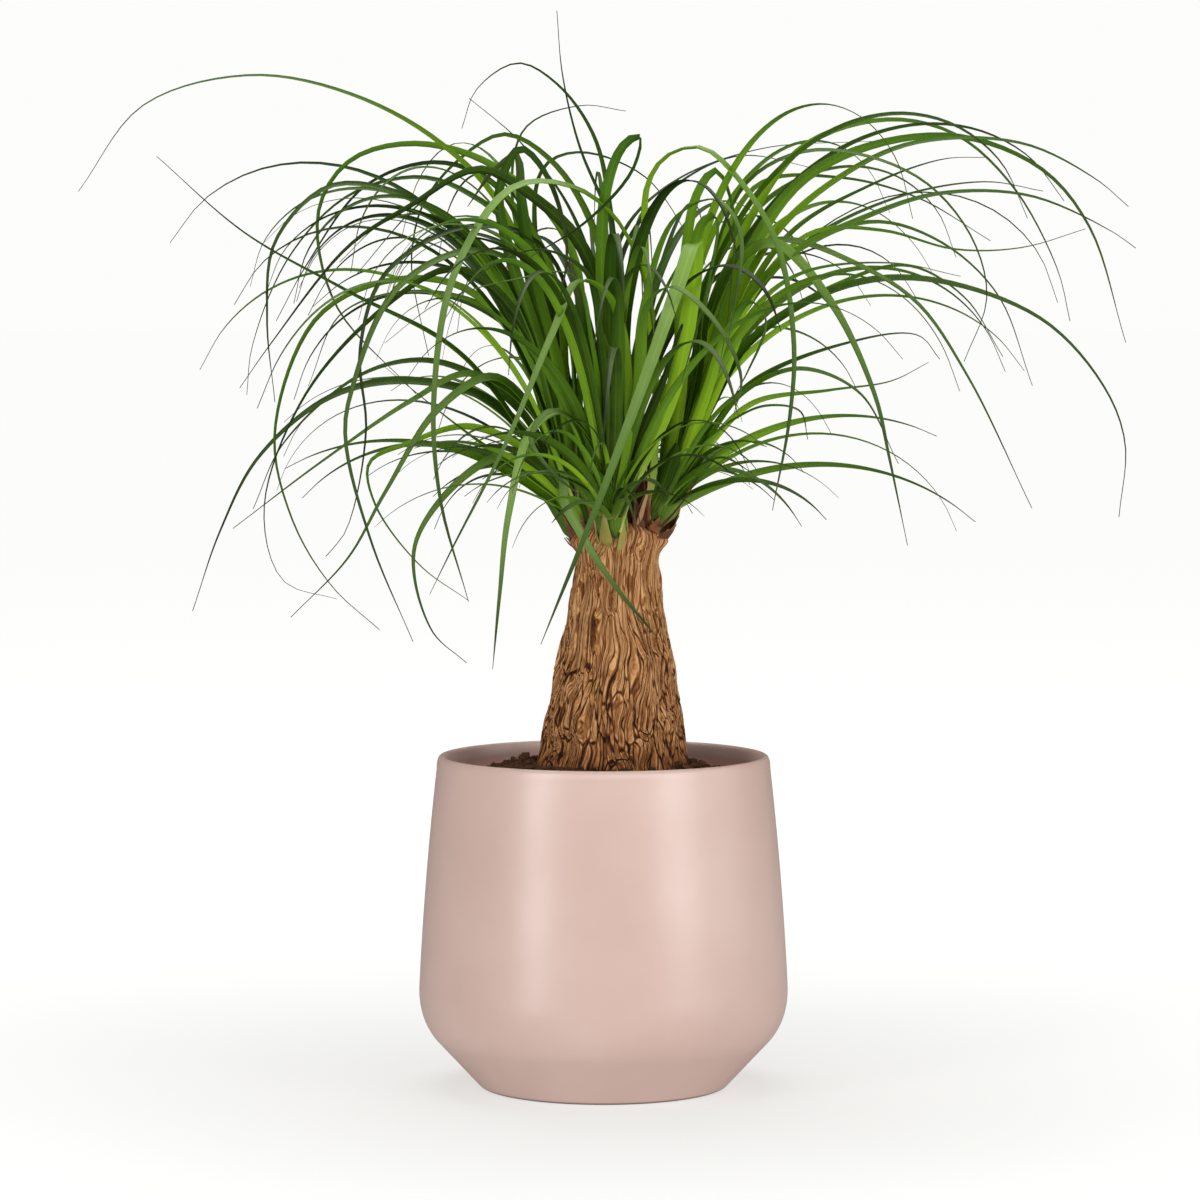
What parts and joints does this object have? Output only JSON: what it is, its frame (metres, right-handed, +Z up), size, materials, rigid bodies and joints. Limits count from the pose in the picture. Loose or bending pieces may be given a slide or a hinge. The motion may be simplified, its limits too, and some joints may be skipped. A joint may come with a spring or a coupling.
{
  "type": "potted ponytail palm",
  "caption": "House plant: swollen corky trunk with heads of long arching strap leaves, standing in soil in a rounded ceramic pot.",
  "frame": {"origin": "centre of the pot's flat foot, on the surface that it stands on", "axes": "+Z up, along the pot's axis; -Y towards the viewer of the picture's front view; +X to the viewer's right"},
  "size_m": [0.5583, 0.4876, 0.5833],
  "materials": {
    "pot_glaze": "satin",
    "soil": "matte",
    "bark": "matte",
    "leaf": "satin"
  },
  "bodies": {
    "root": {"pot": "pot_glaze", "soil": "soil", "trunk": "bark", "left_head": "leaf", "front_head": "leaf", "right_head": "leaf", "back_head": "leaf"}
  },
  "joints": []
}
